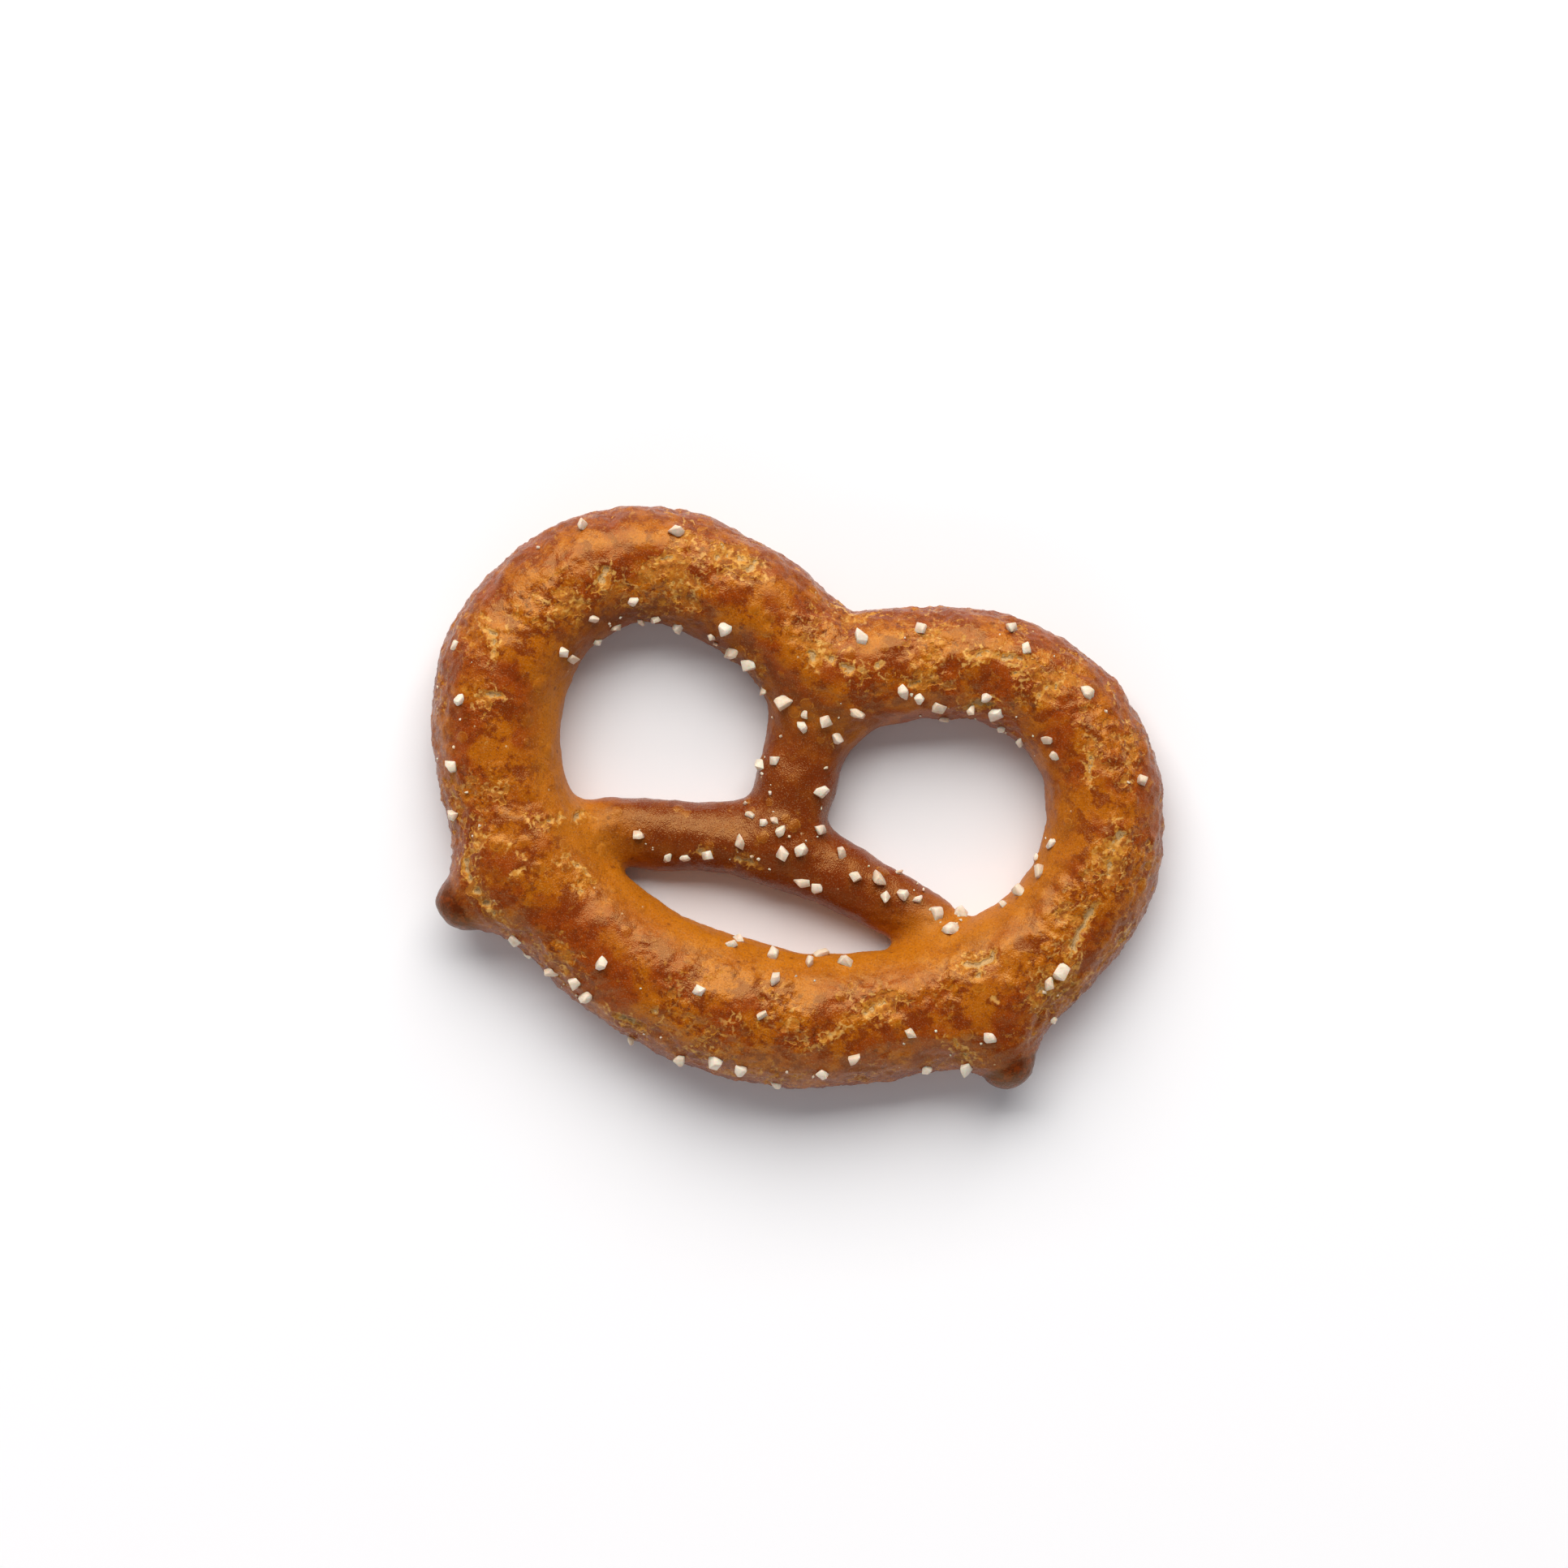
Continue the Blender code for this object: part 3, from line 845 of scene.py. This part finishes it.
def placed_copy(stone, place, outward, width, spin, shape, sunk):
    """A copy of a crystal with its own mesh, at its size and turn, sunk in the crust."""
    copy = bpy.data.objects.new("grain", stone.data.copy())
    bpy.context.scene.collection.objects.link(copy)
    across = width * CRYSTAL_FILL
    longer, flatter = 1 + CRYSTAL_STRETCH * shape, 1 - CRYSTAL_FLATTEN * shape
    size = Matrix.Diagonal((across * longer, across, across * flatter, 1))
    middle = place + outward * width * (0.5 - sunk)
    copy.data.transform(Matrix.Translation(middle) @ spin.to_matrix().to_4x4() @ size)
    note(copy, "shade", np.full(len(copy.data.vertices), shape))
    return copy


def crumbs(stones):
    """Fine crumbs of salt between the grains."""
    draw = random.Random(CRUMB_SEED)
    starts = []
    for _ in range(CRUMBS):
        name, first, last, low, high, _ = draw.choice(SALT_ZONES)
        number = draw.uniform(first, last)
        starts.append(tuple(STRANDS[name].spot(number, math.radians(draw.uniform(low, high)))))
    points = settled(np.array(starts))
    slopes = dough_slope(points, nearest_rows(points))
    made = []
    for point, slope in zip(points, slopes):
        spin = Euler([draw.uniform(0, math.tau) for _ in range(3)])
        width = draw.triangular(*CRUMB_WIDTH, CRUMB_WIDTH[0]) * MM
        stone = draw.choice(stones)
        way = Vector(slope).normalized()
        made.append(placed_copy(stone, Vector(point), way, width, spin, draw.random(), CRUMB_SUNK))
    return made


def salt_crystals(salt):
    """All the salt: the grains where the solid has them, and the crumbs between them."""
    draw = random.Random(CRYSTAL_SEED)
    stones = [crystal(draw, number) for number in range(CRYSTAL_KINDS)]
    grains = []
    for number, (place, outward, width, spin, shape) in enumerate(salt):
        stone = stones[number % CRYSTAL_KINDS]
        grains.append(placed_copy(stone, place, outward, width, spin, shape, SALT_SUNK))
    grains += crumbs(stones)
    for stone in stones:
        bpy.data.objects.remove(stone)
    only(*grains)
    bpy.ops.object.join()
    joined = bpy.context.object
    joined.name = joined.data.name = "salt"
    bpy.ops.object.shade_smooth_by_angle(angle=CRYSTAL_SOFT_ANGLE)
    return joined


class Wire:
    """A value in a node tree, with which sums are written as plain maths."""

    def __init__(self, recipe, socket):
        self.recipe = recipe
        self.socket = socket

    def maths(self, operation, first, second):
        return self.recipe.add("ShaderNodeMath", {"operation": operation}, {0: first, 1: second})

    def __add__(self, other):
        return self.maths("ADD", self, other)

    def __radd__(self, other):
        return self.maths("ADD", other, self)

    def __sub__(self, other):
        return self.maths("SUBTRACT", self, other)

    def __rsub__(self, other):
        return self.maths("SUBTRACT", other, self)

    def __mul__(self, other):
        return self.maths("MULTIPLY", self, other)

    def __rmul__(self, other):
        return self.maths("MULTIPLY", other, self)


class Recipe:
    """A node tree in the making."""

    def __init__(self, tree):
        self.tree = tree

    def add(self, kind, settings=None, inputs=None, output=0):
        """Adds a node with its settings, fills its sockets with numbers or links, and gives one output."""
        node = self.tree.nodes.new(kind)
        for name, value in (settings or {}).items():
            setattr(node, name, value)
        for name, value in (inputs or {}).items():
            self.feed(node.inputs[name], value)
        return Wire(self, node.outputs[output])

    def feed(self, socket, value):
        """Links a wire to a socket, or sets the socket to a number or a colour."""
        if isinstance(value, Wire):
            self.tree.links.new(value.socket, socket)
        else:
            socket.default_value = value


class Finish(Recipe):
    """A material in the making."""

    def __init__(self, name):
        self.material = bpy.data.materials.new(name)
        self.material.use_nodes = True
        super().__init__(self.material.node_tree)
        self.shader = self.tree.nodes["Principled BSDF"]

    def set(self, **values):
        """Sets or links sockets of the shader, with _ for the blanks in their names."""
        for name, value in values.items():
            self.feed(self.shader.inputs[name.replace("_", " ")], value)

    def noted(self, name):
        """A number that was noted for each vertex."""
        return self.add("ShaderNodeAttribute", {"attribute_name": name}, output="Fac")

    def place(self):
        """The place on the object, in millimetres."""
        where = self.add("ShaderNodeTexCoord", output="Object")
        return self.add("ShaderNodeVectorMath", {"operation": "SCALE"}, {0: where, "Scale": 1 / MM})

    def size_of(self, value):
        """The value without its sign."""
        return self.add("ShaderNodeMath", {"operation": "ABSOLUTE"}, {0: value})

    def noise(self, where, size, detail=2.0, roughness=0.5, distortion=0.0):
        """Clouds of that size in millimetres, about 0.5 on average."""
        inputs = {"Vector": where, "Scale": 1 / size, "Detail": detail, "Roughness": roughness}
        return self.add("ShaderNodeTexNoise", None, {**inputs, "Distortion": distortion})

    def cells(self, where, size):
        """Cells of that size in millimetres: the distance to a cell's middle, and a number for each cell."""
        inputs = {"Vector": where, "Scale": 1 / size, "Randomness": 1.0}
        distance = self.add("ShaderNodeTexVoronoi", None, inputs, output="Distance")
        colour = self.add("ShaderNodeTexVoronoi", None, inputs, output="Color")
        return distance, self.add("ShaderNodeSeparateColor", None, {0: colour})

    def ease(self, value, low, high, start=0.0, end=1.0):
        """From start at low to end at high, smoothly."""
        inputs = {"Value": value, "From Min": low, "From Max": high, "To Min": start, "To Max": end}
        return self.add("ShaderNodeMapRange", {"interpolation_type": "SMOOTHSTEP"}, inputs)

    def mix(self, factor, first, second):
        """First colour where the factor is 0, second where it is 1."""
        first, second = (c if isinstance(c, Wire) else (*c, 1) for c in (first, second))
        inputs = {0: factor, 6: first, 7: second}
        return self.add("ShaderNodeMix", {"data_type": "RGBA"}, inputs, output=2)

    def bump(self, height, distance, strength=1.0):
        """A normal from a height, where a height of 1 stands for the distance in metres."""
        inputs = {"Height": height, "Distance": distance, "Strength": strength}
        return self.add("ShaderNodeBump", None, inputs)


def crust_patterns(finish):
    """What the crust's colour and shine are made from: its noted numbers, and clouds of many sizes."""
    at = SimpleNamespace(**{name: finish.noted(name) for name in NOTED})
    at.place = finish.place()
    at.broad = finish.noise(at.place, BROAD_WIDTH, 2.0)
    at.patches = finish.noise(at.place, PATCH_WIDTH, 2.0, 0.5)
    at.clouds = finish.noise(at.place, CLOUD_WIDTH, 3.0, 0.65)
    at.dapple = finish.noise(at.place, DAPPLE_WIDTH, 3.0, 0.68, 0.5)
    at.wisps = finish.noise(at.place, WISP_WIDTH, 2.0, 0.55)
    at.frays = finish.noise(at.place, FRAY_WIDTH, 1.0)
    at.grain = finish.noise(at.place, GRAIN_WIDTH, 1.0, 0.6)
    at.glints = finish.noise(at.place, GLINT_WIDTH, 0.0)
    at.skin = at.skin + (at.frays - 0.5) * 0.8
    at.covered = finish.ease(at.skin, -0.10, 0.12)
    at.dappled = (0.25 + at.rough * 0.75) * (1 - at.lit_golden * 0.6) * (1 - at.arm * 0.4) * (1 - at.shaded_lobe * 0.5)
    gaping = at.gape + (at.frays - 0.5) * 0.70 + (at.dapple - 0.5) * 0.50
    at.lip = finish.ease(gaping, 0.36, 0.56)
    at.core = finish.ease(gaping, 0.62, 0.74)
    return at


def glazed(finish, at):
    """The unbroken skin: orange and amber; gold-coloured on the lower inner side, partly as painted light
    where that side faces the key light; browner on the arms and on the outer side; painted shade on the
    lobes' inner side; and dappled."""
    colour = finish.mix(finish.ease(at.patches, 0.40, 0.60), ORANGE, AMBER)
    colour = finish.mix(finish.ease(at.clouds, 0.48, 0.60, 0.0, 0.85), colour, TOASTED)
    # Painted light, in part: the lower inner side is made a lighter gold where it faces the key light.
    colour = finish.mix(at.lit_golden * 0.85, colour, LIT_GOLDEN)
    arm_colour = finish.mix(finish.ease(at.broad, 0.40, 0.75), ARM_BROWN, TOASTED)
    colour = finish.mix(at.arm * finish.ease(at.clouds, 0.25, 0.6, 0.75, 1.0), colour, arm_colour)
    # Painted shade on the lobes' inner side.
    colour = finish.mix(at.shaded_lobe * finish.ease(at.clouds, 0.3, 0.6, 0.35, 0.75), colour, DEEP_BROWN)
    colour = finish.mix(at.outer * finish.ease(at.clouds, 0.3, 0.6, 0.3, 0.8), colour, TOASTED)
    colour = finish.mix(finish.ease(at.dapple, 0.455, 0.405) * at.dappled * 0.8, colour, TOASTED)
    colour = finish.mix(finish.ease(at.dapple, 0.375, 0.325) * at.dappled * 0.8, colour, DEEP_BROWN)
    return finish.mix(finish.ease(at.dapple, 0.585, 0.66) * at.dappled * 0.65, colour, OCHRE)


def flaked(finish, at, colour):
    """The bare dough where the skin is missing, the skin's pale edges, fine dark grain, and fine pale dots
    that are partly dust and partly painted glints.
    """
    bare = finish.mix(finish.ease(at.wisps, 0.44, 0.70), DOUGH, OCHRE)
    skin_edge = finish.ease(finish.size_of(at.skin), 0.13, 0.0)
    colour = finish.mix((1 - at.covered) * finish.ease(at.clouds, 0.35, 0.6, 0.6, 0.2), colour, bare)
    colour = finish.mix(skin_edge * finish.ease(at.clouds, 0.35, 0.6, 0.15, 0.85), colour, OCHRE)
    colour = finish.mix(finish.ease(at.grain, 0.48, 0.75, 0.0, 0.45), colour, SPECK)
    # Painted glints, in part: fine pale dots where the glints pattern peaks.
    return finish.mix(finish.ease(at.glints, 0.60, 0.76, 0.0, 0.16), colour, DUST_AND_GLINT)


def cracked(finish, at, colour):
    """Pale feathers and veins round the cracks, the cracks' lips, and the crumb inside them, with painted
    shade in its small pits.
    """
    feather = finish.ease((at.dapple - 0.5) * 2.6 + at.torn * 0.7 + at.rough * 0.15, 0.52, 0.80)
    colour = finish.mix(feather * finish.ease(at.frays, 0.42, 0.62, 0.1, 0.9), colour, OCHRE)
    ridge = finish.noise(at.place, VEIN_WIDTH, 2.0, 0.5) - 0.5 + (at.wisps - 0.5) * 0.2
    veins = finish.ease(finish.size_of(ridge), 0.045, 0.008)
    veins = veins * finish.ease(at.torn + at.rough * 0.45, 0.20, 0.65)
    colour = finish.mix(veins * finish.ease(at.frays, 0.45, 0.65, 0.0, 0.8), colour, PALE)
    lip_colour = finish.mix(finish.ease(at.wisps, 0.40, 0.60), OCHRE, PALE)
    colour = finish.mix(at.lip * 0.75, colour, lip_colour)
    # Painted shade: dark pits spotted through the crumb in the cracks.
    core_colour = finish.mix(finish.ease(at.grain, 0.50, 0.75), CRUMB, PIT_SHADE)
    return finish.mix(at.core * 0.85, colour, core_colour)


def spotted(finish, at, colour):
    """Blisters with pale rims, dark specks and specks of dust."""
    rim = finish.ease(finish.size_of(at.blister - 0.92 + (at.grain - 0.5) * 0.2), 0.16, 0.0)
    rim = rim * finish.ease(at.wisps, 0.42, 0.60)
    colour = finish.mix(finish.ease(at.blister, 1.0, 0.6) * 0.3, colour, DOUGH)
    colour = finish.mix(rim * 0.5, colour, OCHRE)
    distance, pick = finish.cells(at.place, SPECK_SPACING)
    specks = finish.ease(distance + (at.grain - 0.5) * 0.25, 0.16, 0.06) * finish.ease(pick, 0.60, 0.64)
    colour = finish.mix(specks * (1 - at.tip) * 0.7, colour, SPECK)
    dust = finish.ease(distance, 0.075, 0.045) * finish.ease(pick, 0.30, 0.28)
    return finish.mix(dust * 0.7, colour, DUST_AND_GLINT)


def footed(finish, at, colour):
    """The duller tan foot with its pores, and the burnt ends of the tips."""
    sole = finish.mix(finish.ease(at.clouds + (at.wisps - 0.5) * 0.5, 0.35, 0.62), FOOT_TAN, FOOT_BROWN)
    sole = finish.mix(at.pore * 0.8, sole, DEEP_BROWN)
    colour = finish.mix(at.foot * 0.85, colour, sole)
    end = finish.mix(finish.ease(at.wisps + (at.grain - 0.5) * 0.4, 0.46, 0.66), BURNT, ARM_BROWN)
    burnt = finish.ease(at.tip + (at.clouds - 0.5) * 1.2 + (at.wisps - 0.5) * 0.6, 0.25, 0.75)
    return finish.mix(burnt * finish.ease(at.tip, 0.0, 0.15) * 0.97, colour, end)


def crust_finish():
    """Baked crust: a glossy amber to red-brown skin, torn off in pale flakes and cracks, with blisters,
    specks and dust, and with painted light, painted shade and painted glints."""
    finish = Finish("crust")
    at = crust_patterns(finish)
    colour = glazed(finish, at)
    for layer in (flaked, cracked, spotted, footed):
        colour = layer(finish, at, colour)
    glossy = at.covered * (1 - at.foot) * (1 - at.lip) * (1 - at.lit_golden * 0.8) * (1 - at.shaded_lobe * 0.8)
    shine = finish.ease(at.clouds, 0.30, 0.5, 0.26, 0.36) - at.arm * 0.01
    finish.set(Base_Color=colour, Roughness=DULL - glossy * shine)
    finish.set(Specular_IOR_Level=SHINE_LEVEL, Specular_Tint=WARM_SHINE)
    height = (at.grain - 0.5) * (0.25 + at.arm * 0.15) + (at.glints - 0.5) * (0.2 + at.arm * 0.3)
    height = height + (at.wisps - 0.5) * (0.4 + at.rough) + (at.dapple - 0.5) * at.dappled * 0.7
    finish.set(Normal=finish.bump(height + at.covered * 0.5 - at.core * 0.6, CRUST_BUMP))
    return finish.material


def salt_finish():
    """Cream-white salt crystals, some clearer and some duller."""
    finish = Finish("salt")
    place = finish.place()
    clouds = finish.noise(place, SALT_CLOUD_WIDTH, 3.0)
    colour = finish.mix(finish.ease(clouds + finish.noted("shade") * 0.4, 0.45, 1.0), SALT_WHITE, SALT_CREAM)
    finish.set(Base_Color=colour, Roughness=finish.ease(clouds, 0.3, 0.7, 0.35, 0.6))
    finish.set(IOR=SALT_IOR, Subsurface_Weight=SALT_GLOW, Subsurface_Scale=SALT_GLOW_DEPTH)
    finish.set(Normal=finish.bump(finish.noise(place, SALT_PIT_WIDTH, 3.0), SALT_BUMP, 0.7))
    return finish.material


def from_middle(right, up, height):
    """A place given in the picture's own directions, in metres from the object's middle."""
    return PICTURE_RIGHT * right + PICTURE_UP * up + Vector((0, 0, height))


def overhead_camera():
    """A camera straight above, turned as in the photograph."""
    right = (PICTURE_PIXELS / 2 - MIDDLE_PIXEL[0]) / PIXELS_PER_MM * MM
    up = (MIDDLE_PIXEL[1] - PICTURE_PIXELS / 2) / PIXELS_PER_MM * MM
    view = PICTURE_PIXELS / PIXELS_PER_MM * MM
    lens = bpy.data.cameras.new("camera")
    lens.sensor_width = SENSOR
    lens.lens = SENSOR * (CAMERA_HEIGHT - CROWN_HEIGHT) / view
    lens.clip_start = CAMERA_NEAR
    camera = bpy.data.objects.new("camera", lens)
    camera.location = from_middle(right, up, CAMERA_HEIGHT)
    camera.rotation_euler = (0, 0, PRETZEL_TURN)
    bpy.context.scene.collection.objects.link(camera)
    bpy.context.scene.camera = camera


def soft_light(name, right, up, height, size, power, colour):
    """An oblong soft box at a place given in the picture's own directions, aimed at the pretzel."""
    light = bpy.data.lights.new(name, "AREA")
    light.shape = "RECTANGLE"
    light.size, light.size_y = size
    light.energy = power
    light.color = colour
    box = bpy.data.objects.new(name, light)
    box.location = from_middle(right, up, height)
    box.rotation_euler = (-box.location).to_track_quat("-Z", "Y").to_euler()
    bpy.context.scene.collection.objects.link(box)


def white_table():
    """A plain white floor just under the pretzel's foot."""
    bpy.ops.mesh.primitive_plane_add(size=TABLE_WIDTH, location=(0, 0, -TABLE_GAP))
    floor = bpy.context.object
    floor.name = "floor"
    paper = Finish("paper")
    paper.set(Base_Color=PAPER_WHITE, Roughness=0.9, Specular_IOR_Level=0.1)
    floor.data.materials.append(paper.material)


def surround():
    """A cool white surround, bright near the horizon and dimmer overhead."""
    world = bpy.data.worlds.new("surround")
    world.use_nodes = True
    recipe = Recipe(world.node_tree)
    way = recipe.add("ShaderNodeTexCoord", output="Generated")
    inputs = {"Value": recipe.add("ShaderNodeSeparateXYZ", None, {0: way}, output="Z")}
    inputs["From Min"], inputs["From Max"] = SURROUND_FADE
    inputs["To Min"], inputs["To Max"] = SURROUND_STRENGTH
    background = recipe.tree.nodes["Background"]
    recipe.feed(background.inputs["Strength"], recipe.add("ShaderNodeMapRange", None, inputs))
    recipe.feed(background.inputs["Color"], SURROUND_WHITE)
    world.cycles.sampling_method = "NONE"
    bpy.context.scene.world = world


overhead_camera()
white_table()
soft_light("key", **KEY_LIGHT)
soft_light("fill", **FILL_LIGHT)
surround()
bpy.context.scene.view_settings.view_transform = "Standard"

grain_places = salt_places()
crust = baked_crust(grain_places)
crust.data.materials.append(crust_finish())
salt = salt_crystals(grain_places)
salt.data.materials.append(salt_finish())
for piece, slot in ((crust, "crust"), (salt, "salt")):
    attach(piece, "root")
    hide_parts("pretzel")
